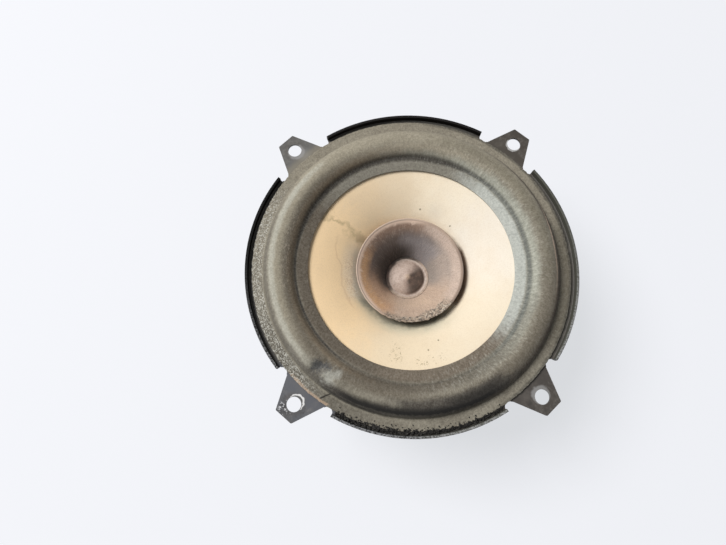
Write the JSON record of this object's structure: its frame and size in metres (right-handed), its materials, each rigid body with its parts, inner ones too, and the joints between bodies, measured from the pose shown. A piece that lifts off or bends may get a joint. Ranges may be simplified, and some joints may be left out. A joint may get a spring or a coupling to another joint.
{
  "type": "car loudspeaker",
  "caption": "Round full-range car loudspeaker with a paper cone, flared whizzer cone, foam surround and a pressed-steel basket with four screw ears.",
  "frame": {"origin": "centre of the four ear holes, on the rear (mounting) face of the flange", "axes": "+Z along the speaker's axis, out of the cone towards the listener; +Y up the face, away from the terminals; +X to the right seen from the front"},
  "size_m": [0.13, 0.13, 0.0606],
  "materials": {
    "basket": "satin",
    "motor_steel": "satin",
    "rivet_steel": "satin",
    "ferrite": "matte",
    "cone_paper": "matte",
    "whizzer_paper": "matte",
    "cap_paper": "satin",
    "former_paper": "matte",
    "copper_wire": "gloss",
    "glue": "gloss",
    "foam": "matte",
    "cement": "matte",
    "sealant": "matte",
    "spider_cloth": "matte",
    "board": "satin",
    "terminal_metal": "satin",
    "solder": "gloss",
    "tinsel": "matte"
  },
  "bodies": {
    "chassis": {"basket": "basket", "front_plate": "motor_steel", "back_plate": "motor_steel", "pole_piece": "motor_steel", "motor_rivets": "rivet_steel", "board_rivet": "rivet_steel", "magnet": "ferrite", "surround": "foam", "surround_cement": "cement", "spider_cement": "cement", "edge_sealant": "sealant", "spider": "spider_cloth", "terminal_board": "board", "positive_spade": "terminal_metal", "negative_spade": "terminal_metal", "terminal_rivets": "terminal_metal", "terminal_solder": "solder", "positive_lead": "tinsel", "negative_lead": "tinsel"},
    "cone_assembly": {"cone": "cone_paper", "whizzer_cone": "whizzer_paper", "dust_cap": "cap_paper", "voice_coil_former": "former_paper", "voice_coil_winding": "copper_wire", "neck_glue": "glue", "lead_eyelets": "terminal_metal", "eyelet_solder": "solder", "coil_lead_wires": "copper_wire"}
  },
  "joints": [
    {"name": "cone_travel", "type": "slide", "parent": "chassis", "child": "cone_assembly", "axis": [0, 0, 1], "range_m": [-0.0035, 0.0035], "stiffness_N_per_m": 2500, "deforming": ["surround", "spider", "positive_lead", "negative_lead"]}
  ]
}
